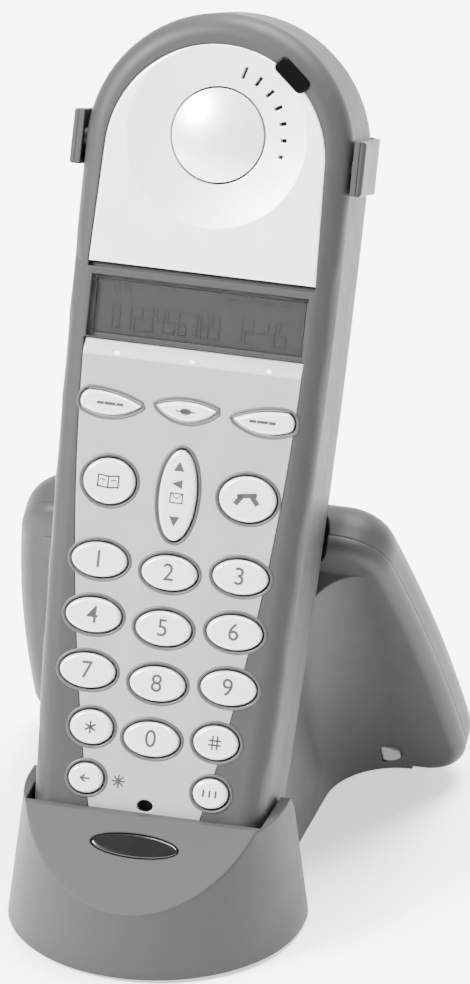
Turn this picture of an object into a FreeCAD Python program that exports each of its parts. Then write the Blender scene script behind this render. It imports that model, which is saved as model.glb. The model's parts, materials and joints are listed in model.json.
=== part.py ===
"""Cordless telephone handset standing in its desk charging base. Row frame in millimetres: +Z up, the user at -Y,
origin under the middle of the whole object on the desk. Every size comes from the spreadsheet "sizes"."""
import FreeCAD, Part
import math
import os
import Sketcher
from FreeCAD import Placement, Rotation, Vector

doc = FreeCAD.newDocument("cordless_phone")
sheet = doc.addObject("Spreadsheet::Sheet", "sizes")

DRIVING = {
    # handset casing, in the handset's own frame: X across, Y into its thickness, Z along it from the foot
    "lean": 23.5, "hand_long": 162.6, "hand_thick": 24.0, "dome_radius": 26.0, "foot_half": 22.3,
    "foot_corner": 9.0, "split_depth": 11.5, "front_round": 4.0, "back_round": 7.5, "wall": 1.8,
    "front_wall": 3.2, "seat_y": -36.75, "seat_z": 16.2,
    # front panels
    "ear_panel_radius": 21.5, "ear_panel_half": 22.2, "ear_panel_centre": 135.3, "ear_panel_foot": 113.4, "ear_panel_thick": 2.3,
    "dish_radius": 17.6, "dish_depth": 1.5, "dish_height": 139.6, "ear_dome_radius": 8.9, "ear_dome_rise": 1.9,
    "groove_high": 1.0, "groove_deep": 1.3, "lcd_half": 21.1, "lcd_foot": 99.3, "lcd_head": 110.9, "lcd_sunk": 0.7, "lcd_lens_thick": 1.0,
    "key_panel_head": 98.9, "key_panel_foot": 6.5, "key_panel_half": 21.4, "key_panel_foot_half": 9.9,
    "key_panel_side": 452.0, "key_panel_thick": 0.9, "key_panel_ramp": 3.4,
    "led_long": 7.4, "led_wide": 3.1, "led_turn": 50.0, "led_out": 20.7,
    # keys
    "key_proud": 1.2, "key_travel": 0.8, "key_gap": 0.35, "key_flange": 0.7, "flange_thick": 0.8,
    "column": 13.8, "row_pitch": 10.55, "row_zero": 24.9, "row_sag": 0.9,
    "digit_long": 5.35, "digit_tall": 3.25,
    # handset inner parts
    "mat_front": 5.15, "mat_thick": 1.2, "board_front": 6.4, "board_thick": 1.2,
    "cell_radius": 5.1, "cell_long": 43.5, "cell_foot": 13.0,
    "door_half": 14.0, "door_foot": 11.5, "door_head": 60.0, "door_thick": 1.1, "door_slide": 5.0,
    # belt clip
    "clip_height": 136.3, "clip_tall": 10.4, "clip_gap": 0.35, "clip_thick": 1.1, "peg_radius": 1.6,
    "peg_depth": 4.4, "tongue_half": 8.0, "tongue_foot": 80.0, "cap_thick": 1.1, "cap_wide": 4.4,
    # base
    "bowl_y": -23.25, "bowl_radius": 28.5, "bowl_back": 22.0, "bowl_corner": 20.0, "rim_back": 3.5, "rim_fall": 50.0,
    "bowl_high": 26.4, "bowl_draft": 7.0, "slope_foot_y": -27.4, "slope_foot_z": 13.0, "slope": 40.0,
    "base_wall": 2.2, "foot_gap": 0.8, "play": 0.6, "spine_half": 19.0, "valley_round": 13.0,
    "rear_y": 51.65, "wing_foot_y": 44.75, "wing_lean": 30.7, "wing_long": 78.0, "wing_top_half": 34.9,
    "wing_foot_half": 43.4, "wing_side": 430.0, "wing_corner": 10.0, "wing_foot_corner": 9.0, "wing_drop": 0.1, "wing_round": 2.6, "wing_thick": 3.2,
    "cover_inset": 0.0, "cover_deep": 9.8, "cover_round": 7.0, "cover_wall": 2.0,
    "jack_wide": 13.0, "jack_deep": 13.0, "jack_high": 11.0, "jack_half_gap": 9.0, "plug_wide": 9.8,
    "plug_high": 6.8, "plug_deep": 11.0, "page_long": 8.5, "page_tall": 2.35,
}
for line, (alias, value) in enumerate(DRIVING.items(), start=1):
    sheet.set(f"A{line}", alias)
    sheet.set(f"B{line}", str(value))
    sheet.setAlias(f"B{line}", alias)
doc.recompute()


class Size:
    """A number that remembers the spreadsheet formula it came from, so a feature can be bound to it."""

    def __init__(self, value, text):
        self.value = value
        self.text = text

    def _join(self, other, sign, value):
        text = other.text if isinstance(other, Size) else repr(float(other))
        return Size(value, f"({self.text} {sign} {text})")

    def __add__(self, other):
        return self._join(other, "+", self.value + number(other))

    def __sub__(self, other):
        return self._join(other, "-", self.value - number(other))

    def __mul__(self, other):
        return self._join(other, "*", self.value * number(other))

    def __truediv__(self, other):
        return self._join(other, "/", self.value / number(other))

    def __neg__(self):
        return Size(-self.value, f"(0 - {self.text})")


def number(size):
    """The plain value of a Size or a number."""
    return size.value if isinstance(size, Size) else float(size)


def cell(alias):
    """The Size of a spreadsheet cell."""
    return Size(float(sheet.get(alias)), f"sizes.{alias}")


def bind(thing, prop, size):
    """Sets a property and binds it to the spreadsheet if the size came from there."""
    if isinstance(size, Size):
        thing.setExpression(prop, size.text)
    elif "." in prop or "[" in prop:
        thing.setExpression(prop, repr(float(size)))
    else:
        setattr(thing, prop, size)


# ---------------------------------------------------------------- building blocks

FACING = {"XY": "XY_Plane", "XZ": "XZ_Plane", "YZ": "YZ_Plane"}
made = []


def body(name):
    return doc.addObject("PartDesign::Body", name)


def sketch_on(owner, facing, lift=0.0):
    """An empty sketch on one of the body's origin planes, lifted along that plane's normal."""
    drawn = owner.newObject("Sketcher::SketchObject", f"{owner.Name}_outline")
    plane = [p for p in owner.Origin.OriginFeatures if p.Role == FACING[facing]][0]
    drawn.AttachmentSupport = [(plane, "")]
    drawn.MapMode = "FlatFace"
    bind(drawn, "AttachmentOffset.Base.z", lift)
    return drawn


def pin_point(drawn, curve, end, x, y):
    """Fixes one end of a curve at (x, y), each bound to its size."""
    for kind, axis, size in (("DistanceX", -2, x), ("DistanceY", -1, y)):
        if not isinstance(size, Size) and size == 0:
            drawn.addConstraint(Sketcher.Constraint("PointOnObject", curve, end, axis))
            continue
        index = drawn.addConstraint(Sketcher.Constraint(kind, curve, end, number(size)))
        if isinstance(size, Size):
            drawn.setExpression(f"Constraints[{index}]", size.text)


def arc_between(start, end, radius):
    """A circular arc from start to end; it bulges to the right of the way it runs if radius is positive."""
    chord = end - start
    reach = max(abs(radius), chord.Length / 2 + 1e-6)
    side = Vector(chord.y, -chord.x, 0).normalize() * (1 if radius > 0 else -1)
    centre = (start + end) / 2 - side * math.sqrt(reach**2 - (chord.Length / 2) ** 2)
    return Part.Arc(start, centre + side * reach, end)


def loop(drawn, corners):
    """Draws a closed loop. Each corner is (x, y), or (x, y, radius) when an arc leaves it for the next corner."""
    points = [Vector(number(c[0]), number(c[1]), 0) for c in corners]
    first = drawn.GeometryCount
    ends = []
    for i, corner in enumerate(corners):
        start, end = points[i], points[(i + 1) % len(points)]
        if len(corner) == 2:
            drawn.addGeometry(Part.LineSegment(start, end), False)
            ends.append((1, 2))
            continue
        drawn.addGeometry(arc_between(start, end, number(corner[2])), False)
        forward = (drawn.getPoint(first + i, 1) - start).Length < 1e-4
        ends.append((1, 2) if forward else (2, 1))
    for i, corner in enumerate(corners):
        after = (i + 1) % len(corners)
        drawn.addConstraint(
            Sketcher.Constraint("Coincident", first + i, ends[i][1], first + after, ends[after][0]))
        pin_point(drawn, first + i, ends[i][0], corner[0], corner[1])
        if len(corner) == 3:
            index = drawn.addConstraint(Sketcher.Constraint("Radius", first + i, abs(number(corner[2]))))
            if isinstance(corner[2], Size):
                sign = "" if corner[2].value > 0 else "-1 * "
                drawn.setExpression(f"Constraints[{index}]", sign + corner[2].text)


def pad(owner, drawn, length, back=False, draft=0.0):
    """Pads a sketch; the pad runs along the plane's normal unless back is set."""
    feature = owner.newObject("PartDesign::Pad", f"{owner.Name}_pad")
    feature.Profile = drawn
    bind(feature, "Length", length)
    feature.Reversed = back
    if number(draft):
        bind(feature, "TaperAngle", draft)
    doc.recompute()
    return feature


def pocket(owner, drawn, length, back=False):
    """Cuts a sketch out of the body, away from the plane's normal unless back is set."""
    feature = owner.newObject("PartDesign::Pocket", f"{owner.Name}_pocket")
    feature.Profile = drawn
    bind(feature, "Length", length)
    feature.Reversed = back
    before = owner.Shape.Volume if owner.Tip else 0
    doc.recompute()
    if owner.Shape.Volume >= before:
        raise RuntimeError(f"{owner.Name}: the pocket cuts nothing")
    return feature


def soften(owner, feature, radius, chosen, kind="Fillet"):
    """Rounds or bevels the edges of a feature that the test chooses."""
    names = [f"Edge{i}" for i, e in enumerate(feature.Shape.Edges, start=1) if chosen(e)]
    round_off = owner.newObject(f"PartDesign::{kind}", f"{owner.Name}_{kind.lower()}")
    round_off.Base = (feature, names)
    bind(round_off, "Radius" if kind == "Fillet" else "Size", radius)
    doc.recompute()
    return round_off


def box(name, x, y, z, wide, deep, high):
    """A block with its lowest corner at (x, y, z)."""
    block = doc.addObject("Part::Box", name)
    for prop, size in (("Length", wide), ("Width", deep), ("Height", high)):
        bind(block, prop, size)
    place(block, x, y, z)
    return block


def place(thing, x, y, z):
    for axis, size in zip("xyz", (x, y, z)):
        bind(thing, f"Placement.Base.{axis}", size)


def rod(name, x, y, z, radius, length, along="Z"):
    """A cylinder that starts at (x, y, z) and runs along +X, +Y or +Z."""
    turned = {"X": Rotation(Vector(0, 1, 0), 90), "Y": Rotation(Vector(1, 0, 0), -90), "Z": Rotation()}[along]
    bar = doc.addObject("Part::Cylinder", name)
    bind(bar, "Radius", radius)
    bind(bar, "Height", length)
    bar.Placement = Placement(Vector(), turned)
    place(bar, x, y, z)
    return bar


def oval(name, x, z, half_wide, half_tall, front, deep):
    """An elliptical prism in the handset's frame: its face is at Y = front and it runs to +Y."""
    upright = number(half_tall) > number(half_wide)
    rim = doc.addObject("Part::Ellipse", f"{name}_rim")
    bind(rim, "MajorRadius", half_tall if upright else half_wide)
    bind(rim, "MinorRadius", half_wide if upright else half_tall)
    spin = Rotation(Vector(1, 0, 0), 90) * Rotation(Vector(0, 0, 1), 90 if upright else 0)
    rim.Placement = Placement(Vector(), spin)
    place(rim, x, front, z)
    return prism(name, rim, Vector(0, 1, 0), deep)


def prism(name, profile, direction, length):
    """Extrudes a closed profile into a solid."""
    solid = doc.addObject("Part::Extrusion", name)
    solid.Base = profile
    solid.DirMode = "Custom"
    solid.Dir = direction
    bind(solid, "LengthFwd", length)
    solid.Solid = True
    return solid


def fuse(name, pieces):
    joined = doc.addObject("Part::MultiFuse", name)
    joined.Shapes = pieces
    joined.Refine = True
    return joined


def group(name, pieces):
    """Separate solids that share one node."""
    several = doc.addObject("Part::Compound", name)
    several.Links = pieces
    return several


def cut(name, base, *tools):
    """Takes the tools out of the base, one after the other."""
    left = base
    for count, tool in enumerate(tools, start=1):
        less = doc.addObject("Part::Cut", name if count == len(tools) else f"{name}_cut")
        less.Base = left
        less.Tool = tool
        less.Refine = True
        left = less
    return left


def common(name, base, tool):
    shared = doc.addObject("Part::Common", name)
    shared.Base = base
    shared.Tool = tool
    return shared


def round_edges(name, base, radius, chosen):
    """A Part fillet on the edges that the test chooses."""
    doc.recompute()
    rounded = doc.addObject("Part::Fillet", name)
    rounded.Base = base
    size = number(radius)
    rounded.Edges = [(i, size, size) for i, e in enumerate(base.Shape.Edges, start=1) if chosen(e)]
    doc.recompute()
    return rounded


def stood(thing, frame):
    """Stands a piece in a leaning frame. One whose own place is bound to the sheet is carried in a compound."""
    if any(path.startswith(".Placement") or path.startswith("Placement") for path, _ in thing.ExpressionEngine):
        thing = group(f"{thing.Name}_stood", [thing])
    thing.Placement = frame.multiply(thing.Placement)
    return thing


def node(thing, label, frame=None):
    """Marks a finished sub-part, and puts it where its frame stands."""
    if frame is not None:
        thing = stood(thing, frame)
    thing.Label = label
    made.append(thing)
    return thing


LEAN, THICK, SPLIT = cell("lean"), cell("hand_thick"), cell("split_depth")
HANDSET = Placement(Vector(0, number(cell("seat_y")), number(cell("seat_z"))),
                    Rotation(Vector(1, 0, 0), -number(LEAN)))
WING = Placement(Vector(0, number(cell("wing_foot_y")), 0), Rotation(Vector(1, 0, 0), number(cell("wing_lean"))))


# ---------------------------------------------------------------- handset casing

def casing_outline(drawn, grow=0.0, foot=0.0):
    """The handset seen from the front: a round head on slightly bowed, tapering sides."""
    radius = cell("dome_radius") + grow
    centre = cell("hand_long") - cell("dome_radius")
    half = cell("foot_half") + grow
    corner = cell("foot_corner") + grow
    low = Size(number(foot) - number(grow), repr(float(foot) - float(grow)))
    bow = Size((number(centre) ** 2 + 4.2**2) / (2 * 4.2), repr((number(centre) ** 2 + 4.2**2) / (2 * 4.2)))
    loop(drawn, [(half - corner, low, corner), (half, low + corner, bow), (radius, centre, radius),
                 (-radius, centre, bow), (-half, low + corner, corner), (-half + corner, low)])


def casing_half(name, front, deep, grow, edge_round, edge_depth, foot=0.0):
    """A solid slice of the handset's form from Y = front, with one rim rounded."""
    slab = body(name)
    drawn = sketch_on(slab, "XZ", -Size(number(front), repr(float(number(front)))))
    casing_outline(drawn, grow, foot)
    block = pad(slab, drawn, deep, back=True)
    if number(edge_round):
        at = number(edge_depth)
        soften(slab, block, edge_round,
               lambda e: abs(e.BoundBox.YMin - at) < 1e-4 and abs(e.BoundBox.YMax - at) < 1e-4)
    return slab


def hollow(slab, front, deep):
    """Cuts the inner form out of a casing half, from Y = front towards +Y."""
    drawn = sketch_on(slab, "XZ", -Size(number(front), repr(float(number(front)))))
    casing_outline(drawn, -number(cell("wall")))
    return pocket(slab, drawn, deep)


SCREW_ACROSS, SCREW_HIGH = (-9.0, 9.0), 63.0
DIGITS = "123456789"
LOW_KEYS = {"key_star": (-11.9, 25.8, 4.1, 3.2), "key_0": (0.0, 24.9, 5.35, 3.25), "key_hash": (12.5, 25.8, 4.3, 3.2),
            "key_recall": (-11.9, 16.1, 3.3, 2.8), "key_intercom": (12.5, 16.1, 3.35, 2.8)}
HIGH_KEYS = {"key_phonebook": (-13.5, 72.4, 5.0, 4.3), "key_talk": (13.6, 72.2, 5.5, 4.3),
             "key_navigate": (0.0, 71.3, 3.55, 8.6)}


def oval_keys():
    """Name -> (x, z, half width, half height) of every oval key, on the handset's face."""
    keys = {}
    for count, digit in enumerate(DIGITS):
        column, row = count % 3 - 1, 3 - count // 3
        height = cell("row_zero") + cell("row_pitch") * row + cell("row_sag") * abs(column)
        keys[f"key_{digit}"] = (cell("column") * column, height, cell("digit_long"), cell("digit_tall"))
    return {**keys, **LOW_KEYS, **HIGH_KEYS}


# Corners of the three soft keys about their own middles: x, z and the radius of the arc that leaves each
SOFT_KEYS = {
    "key_soft_left": (-14.7, 86.9, [(5.9, 0.2, 22.0), (-4.6, 2.3, 2.2), (-5.6, -1.0, 11.0)]),
    "key_soft_middle": (0.0, 87.0, [(5.9, 0.9, 16.0), (-5.9, 0.9, 8.2)]),
    "key_soft_right": (15.0, 86.9, [(4.6, 2.3, 22.0), (-5.9, 0.2, 11.0), (5.6, -1.0, 2.2)]),
}


def soft_prism(name, key, grow, front, deep):
    """A soft key's lens-shaped prism, grown all round by the given width."""
    x, z, corners = SOFT_KEYS[key]
    lens = body(name)
    drawn = sketch_on(lens, "XZ", -float(front))
    swollen = 1.0 + grow / 3.4
    stretched = 1.0 + grow / 5.9
    loop(drawn, [(x + cx * stretched, z + cz * swollen, cr * stretched) for cx, cz, cr in corners])
    pad(lens, drawn, deep, back=True)
    return lens


def key_solid(name):
    """A key: its cap stands proud of the face and its flange stops it from behind."""
    proud = number(cell("key_proud"))
    cap_deep = cell("front_wall") + cell("key_proud") + 0.3
    flange = cell("key_flange")
    if name in SOFT_KEYS:
        cap = soft_prism(f"{name}_cap", name, 0.0, -proud, cap_deep)
        skirt = soft_prism(f"{name}_skirt", name, number(flange), number(cell("front_wall")) + 0.1,
                           cell("flange_thick"))
    else:
        x, z, wide, tall = oval_keys()[name]
        cap = oval(f"{name}_cap", x, z, wide, tall, -cell("key_proud"), cap_deep)
        rocks = name == "key_navigate"
        skirt = oval(f"{name}_skirt", x, z, flange + wide, tall * 0.5 if rocks else flange + tall,
                     cell("front_wall") + (0.35 if rocks else 0.1), cell("flange_thick"))
    top = round_edges(f"{name}_top", cap, 0.75, lambda e: e.BoundBox.YMax < -proud + 1e-3)
    pieces = [top, skirt]
    if name == "key_navigate":
        pieces.append(rod("rocker_pivot", -5.2, cell("front_wall") + 0.75, z, 0.55, 10.4, "X"))
    return fuse(f"{name}_solid", pieces)


def key_hole(name, deep=8.0):
    """The hole that a key moves in."""
    grow = number(cell("key_gap"))
    if name in SOFT_KEYS:
        return soft_prism(f"{name}_hole", name, grow, -2.0, deep)
    x, z, wide, tall = oval_keys()[name]
    wide = cell("key_gap") + wide
    tall = cell("key_gap") + tall
    return oval(f"{name}_hole", x, z, wide, tall, -2.0, deep)


ALL_KEYS = list(oval_keys()) + list(SOFT_KEYS)


def ear_panel_outline(drawn, grow=0.0):
    radius = cell("ear_panel_radius") + grow
    centre = cell("ear_panel_centre")
    half = cell("ear_panel_half") + grow
    foot = cell("ear_panel_foot") - grow
    loop(drawn, [(half, foot), (radius, centre, radius), (-radius, centre), (-half, foot)])


def key_panel_outline(drawn, grow=0.0):
    half, low = cell("key_panel_half") + grow, cell("key_panel_foot_half") + grow
    head, foot = cell("key_panel_head") + grow, cell("key_panel_foot") - grow
    side = cell("key_panel_side")
    loop(drawn, [(low, foot, side), (half, head), (-half, head, side), (-low, foot)])


def front_slab(name, outline, grow, front, deep):
    slab = body(name)
    outline(sketch := sketch_on(slab, "XZ", -float(front)), grow)
    pad(slab, sketch, deep, back=True)
    return slab


def led_block(name, grow, front, deep):
    """The rounded bar of the call light, tangent to the head."""
    long, wide = cell("led_long") + 2 * grow, cell("led_wide") + 2 * grow
    turn = math.radians(number(cell("led_turn")))
    bar = doc.addObject("Part::Box", f"{name}_bar")
    for prop, size in (("Length", long), ("Width", deep), ("Height", wide)):
        bind(bar, prop, size)
    out = number(cell("led_out"))
    centre = Vector(out * math.cos(turn), front, number(cell("hand_long") - cell("dome_radius")) + out * math.sin(turn))
    spin = Rotation(Vector(0, 1, 0), 90 - math.degrees(turn))
    bar.Placement = Placement(centre, spin).multiply(Placement(Vector(-number(long) / 2, 0, -number(wide) / 2), Rotation()))
    return round_edges(name, bar, number(wide) * 0.36,
                       lambda e: abs(e.BoundBox.YLength - number(deep)) < 1e-3 and e.Length < number(deep) + 1e-3)


def handset_casing():
    front = casing_half("front_form", 0.0, SPLIT, 0.0, cell("front_round"), 0.0)
    hollow(front, cell("front_wall"), 20.0)
    recesses = [
        front_slab("ear_recess", ear_panel_outline, 0.12, -1.0, cell("ear_panel_thick") + 1.0 + 0.05),
        rod("ear_opening", 0, 0, cell("dish_height"), 11.0, 8.0, "Y"),
        box("lcd_recess", -cell("lcd_half") - 0.1, -1.0, cell("lcd_foot") - 0.1, cell("lcd_half") * 2 + 0.2,
            cell("lcd_sunk") + cell("lcd_lens_thick") + 1.05, cell("lcd_head") - cell("lcd_foot") + 0.2),
        box("lcd_opening", -20.5, -1.0, cell("lcd_foot") + 0.6, 41.0, 8.0, cell("lcd_head") - cell("lcd_foot") - 1.2),
        box("panel_groove", -cell("ear_panel_half"), -1.0, cell("ear_panel_foot") - cell("groove_high"),
            cell("ear_panel_half") * 2, cell("groove_deep") + 1.0, cell("groove_high") + 0.2),
        front_slab("key_recess", key_panel_outline, 0.12, -1.0, cell("key_panel_thick") + 1.05),
        led_block("led_recess", 0.1, -1.0, cell("front_wall") + 3.0),
        oval("mic_opening", 0.0, 12.2, 1.5, 1.05, -1.0, 8.0),
        rod("peg_sockets", -30.0, cell("peg_depth"), cell("clip_height"), cell("peg_radius") + 0.05, 60.0, "X"),
    ]
    holes = group("front_key_holes", [key_hole(k) for k in ALL_KEYS])
    node(cut("front_casing", front, *recesses, holes), "handset_front_casing", HANDSET)

    rear = casing_half("rear_form", SPLIT, THICK - SPLIT, 0.0, cell("back_round"), THICK)
    hollow_at = sketch_on(rear, "XZ", -(THICK - cell("wall")))
    casing_outline(hollow_at, -number(cell("wall")) - 2.6)
    pocket(rear, hollow_at, 40.0, back=True)
    door_bay = box("door_bay", -cell("door_half") - 0.15, THICK - cell("door_thick") - 0.15, cell("door_foot") - 0.15,
                   cell("door_half") * 2 + 0.3, 10.0, cell("door_head") - cell("door_foot") + cell("door_slide") + 0.6)
    bay_hole = box("bay_hole", -12.9, SPLIT + 2.0, cell("door_foot") + 1.2, 25.8, 20.0, 46.0)
    slots = [box(f"ringer_slot_{n}", -5.0, THICK - 6.0, 68.4 + 2.2 * n, 10.0, 10.0, 1.0) for n in range(3)]
    contacts = [box(f"contact_bay_{side}", side * 8.0 - 2.15, SPLIT + 0.5, -1.0, 4.3, 5.2, 4.0) for side in (-1, 1)]
    bosses = [rod(f"boss_{n}", x, SPLIT, SCREW_HIGH, 2.7, THICK - SPLIT - 1.3, "Y") for n, x in enumerate(SCREW_ACROSS)]
    bores = [fuse(f"screw_bore_{n}", [rod(f"shank_bore_{n}", x, SPLIT - 1.0, SCREW_HIGH, 1.15, 20.0, "Y"),
                                      rod(f"head_bore_{n}", x, SPLIT + 9.65, SCREW_HIGH, 1.95, 10.0, "Y")])
             for n, x in enumerate(SCREW_ACROSS)]
    rear = fuse("rear_with_bosses", [rear, *bosses])
    node(cut("rear_casing", rear, *bores, door_bay, bay_hole, *slots, *contacts), "handset_rear_casing", HANDSET)


def handset_front_parts():
    panel = front_slab("ear_panel_form", ear_panel_outline, 0.0, -0.15, cell("ear_panel_thick") + 0.15)
    panel = round_edges("ear_panel_soft", panel, 0.45, lambda e: e.BoundBox.YMax < 0)
    radius, depth = number(cell("dish_radius")), number(cell("dish_depth"))
    ball_radius = (radius**2 + depth**2) / (2 * depth)
    ball = doc.addObject("Part::Sphere", "dish_ball")
    bind(ball, "Radius", (cell("dish_radius") * cell("dish_radius") + cell("dish_depth") * cell("dish_depth"))
         / (cell("dish_depth") * 2))
    place(ball, 0, -0.15 + depth - ball_radius, cell("dish_height"))
    hole = rod("ear_dome_hole", 0, -2.0, cell("dish_height"), cell("ear_dome_radius") + 0.4, 8.0, "Y")
    slots = []
    for count in range(7):
        turn = math.radians(72.0 - 14.0 * count)
        long = 2.5 - 0.26 * count
        slot = doc.addObject("Part::Box", f"sound_slot_{count}")
        slot.Length, slot.Width, slot.Height = long, 8.0, 0.75
        slot.Placement = Placement(Vector(12.9 * math.cos(turn), -2.0, number(cell("dish_height")) + 12.9 * math.sin(turn)),
                                   Rotation(Vector(0, 1, 0), -math.degrees(turn))).multiply(
                                       Placement(Vector(-long / 2, 0, -0.375), Rotation()))
        slots.append(slot)
    light_bay = led_block("led_bay", 0.06, -1.5, cell("front_wall") + 3.0)
    node(cut("ear_panel", panel, ball, hole, group("sound_slots", slots), light_bay), "earpiece_panel", HANDSET)

    dome_radius, rise = number(cell("ear_dome_radius")), number(cell("ear_dome_rise"))
    crown_radius = (dome_radius**2 + rise**2) / (2 * rise)
    crown = doc.addObject("Part::Sphere", "dome_ball")
    bind(crown, "Radius", (cell("ear_dome_radius") * cell("ear_dome_radius") + cell("ear_dome_rise") * cell("ear_dome_rise"))
         / (cell("ear_dome_rise") * 2))
    place(crown, 0, 0.75 - rise + crown_radius, cell("dish_height"))
    barrel = rod("dome_barrel", 0, -3.0, cell("dish_height"), cell("ear_dome_radius"), 5.3, "Y")
    node(common("ear_dome", barrel, crown), "earpiece_dome", HANDSET)

    node(led_block("call_light", 0.0, -0.45, 3.2), "call_light_window", HANDSET)

    lens = box("lens_form", -cell("lcd_half"), cell("lcd_sunk"), cell("lcd_foot"), cell("lcd_half") * 2,
               cell("lcd_lens_thick"), cell("lcd_head") - cell("lcd_foot"))
    node(lens, "display_lens", HANDSET)
    module = box("display_form", -20.3, cell("lcd_sunk") + cell("lcd_lens_thick") + 0.2, cell("lcd_foot") + 0.8, 40.6, 3.0,
                 cell("lcd_head") - cell("lcd_foot") - 1.6)
    node(module, "display_module", HANDSET)

    plate = front_slab("key_panel_form", key_panel_outline, 0.0, -0.1, cell("key_panel_thick") + 0.1)
    head, run, drop = number(cell("key_panel_head")), number(cell("key_panel_ramp")), 0.75
    wedge_face = Part.makePolygon([Vector(-30, -0.2, head - run), Vector(-30, drop, head + 0.3),
                                   Vector(-30, -0.2, head + 0.3), Vector(-30, -0.2, head - run)])
    ramp = doc.addObject("Part::Feature", "ramp_cut")
    ramp.Shape = Part.Face(wedge_face).extrude(Vector(60, 0, 0))
    key_holes = group("panel_key_holes", [settled(f"{k}_panel_hole", doc.getObject(f"{k}_hole"), Placement())
                                          for k in ALL_KEYS])
    mic = oval("panel_mic_hole", 0.0, 12.2, 1.6, 1.15, -1.0, 8.0)
    node(cut("key_panel", plate, ramp, key_holes, mic), "keypad_panel", HANDSET)


def handset_keys():
    for name in ALL_KEYS:
        node(key_solid(name), name, HANDSET)


def handset_inner_parts():
    mat = box("mat_form", -20.3, cell("mat_front"), 10.0, 40.6, cell("mat_thick"), 83.0)
    node(mat, "keypad_mat", HANDSET)
    board = box("board_form", -19.5, cell("board_front"), 8.5, 39.0, cell("board_thick"), 124.0)
    node(board, "handset_circuit_board", HANDSET)
    node(rod("speaker_form", 0, cell("front_wall") + 0.1, cell("dish_height") + 3.5, 8.5, 3.0, "Y"),
         "earpiece_speaker", HANDSET)
    node(rod("mic_form", 0, cell("front_wall") + 0.1, 12.4, 2.0, 1.6, "Y"), "microphone", HANDSET)
    node(rod("ringer_form", 0, cell("board_front") + 1.3, 72.0, 7.0, 6.0, "Y"), "ringer", HANDSET)
    node(box("shield_form", -15.0, cell("board_front") + 1.3, 84.0, 30.0, 3.2, 34.0), "radio_shield_can", HANDSET)
    node(box("antenna_form", -8.0, cell("board_front") + 0.2, 151.0, 16.0, 1.4, 4.5), "handset_antenna", HANDSET)
    cells = [rod(f"cell_{n}", (n - 0.5) * 10.8, SPLIT + 5.35, cell("cell_foot"), cell("cell_radius"), cell("cell_long"))
             for n in range(2)]
    node(group("cells", cells), "battery_cells", HANDSET)
    pads = [box(f"charge_pad_{side}", side * 8.0 - 2.0, SPLIT + 0.7, 0.25, 4.0, 4.8, 0.5) for side in (-1, 1)]
    node(group("charge_pads", pads), "handset_charge_contacts", HANDSET)
    screws = [fuse(f"screw_{n}", [rod(f"screw_shank_{n}", x, SPLIT + 1.0, SCREW_HIGH, 1.1, 8.8, "Y"),
                                  rod(f"screw_head_{n}", x, SPLIT + 9.7, SCREW_HIGH, 1.9, 1.4, "Y")])
              for n, x in enumerate(SCREW_ACROSS)]
    node(group("casing_screws", screws), "handset_screws", HANDSET)
    door = box("door_form", -cell("door_half"), THICK - cell("door_thick"), cell("door_foot"), cell("door_half") * 2,
               cell("door_thick"), cell("door_head") - cell("door_foot"))
    ribs = [box(f"door_rib_{n}", -6.0, THICK - 0.5, 52.0 + 1.6 * n, 12.0, 2.0, 0.7) for n in range(4)]
    node(cut("door", door, group("door_grips", ribs)), "battery_door", HANDSET)


def belt_clip():
    low = cell("clip_height") - cell("clip_tall") / 2
    gap, thick = cell("clip_gap"), cell("clip_thick")
    half = cell("dome_radius") + gap
    back = THICK + 1.0
    ring_outer = clip_band("clip_outer", half + thick, back + thick, 10.0, low)
    ring_inner = clip_band("clip_inner", half, back, 8.6, low)
    pegs = [rod(f"peg_{side}", side * number(half) - (1.6 if side > 0 else 0.2), cell("peg_depth"), cell("clip_height"),
                cell("peg_radius"), 1.8, "X") for side in (-1, 1)]
    tongue = body("tongue")
    drawn = sketch_on(tongue, "YZ")
    top = number(low + cell("clip_tall"))
    inner, skin = number(back), number(thick)
    foot = number(cell("tongue_foot"))
    corners = [(inner + 0.2, top), (inner + 0.2, top - 4.0), (inner + 2.6, top - 14.0), (inner + 1.6, foot + 6.0),
               (inner + 0.2, foot + 2.0), (inner + 1.6, foot), (inner + 3.2, foot + 6.0), (inner + 4.2, top - 14.0),
               (inner + 0.2 + skin, top - 1.0), (inner + 1.2, top)]
    loop(drawn, [(back + (y - inner), Size(z, repr(z))) for y, z in corners])
    side = tongue.newObject("PartDesign::Pad", "tongue_pad")
    side.Profile = drawn
    bind(side, "Length", cell("tongue_half") * 2)
    side.Midplane = True
    doc.recompute()
    band = cut("clip_ring", ring_outer, ring_inner)
    node(fuse("clip", [band, tongue, *pegs]), "belt_clip", HANDSET)
    caps = []
    for way in (-1, 1):
        start = number(half + thick) if way > 0 else -number(half + thick + cell("cap_thick"))
        cap = box(f"clip_cap_{way}", start, 1.7, low, cell("cap_thick"), cell("cap_wide"), cell("clip_tall"))
        outer = number(half + thick + cell("cap_thick")) - 0.01
        caps.append(round_edges(f"clip_cap_round_{way}", cap, 0.7, lambda e: abs(e.CenterOfMass.x) > outer))
    node(group("clip_caps", caps), "belt_clip_caps", HANDSET)


def clip_band(name, half, back, corner, low):
    """A U-shaped slab round the handset's sides and back, seen from the head."""
    band = body(name)
    drawn = sketch_on(band, "XY", low)
    front = 1.6
    round_off = Size(corner, repr(float(corner)))
    loop(drawn, [(half, Size(front, repr(front))), (half, back - round_off, round_off), (half - round_off, back),
                 (-half + round_off, back, round_off), (-half, back - round_off), (-half, Size(front, repr(front)))])
    pad(band, drawn, cell("clip_tall"))
    return band


# ---------------------------------------------------------------- base

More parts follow.
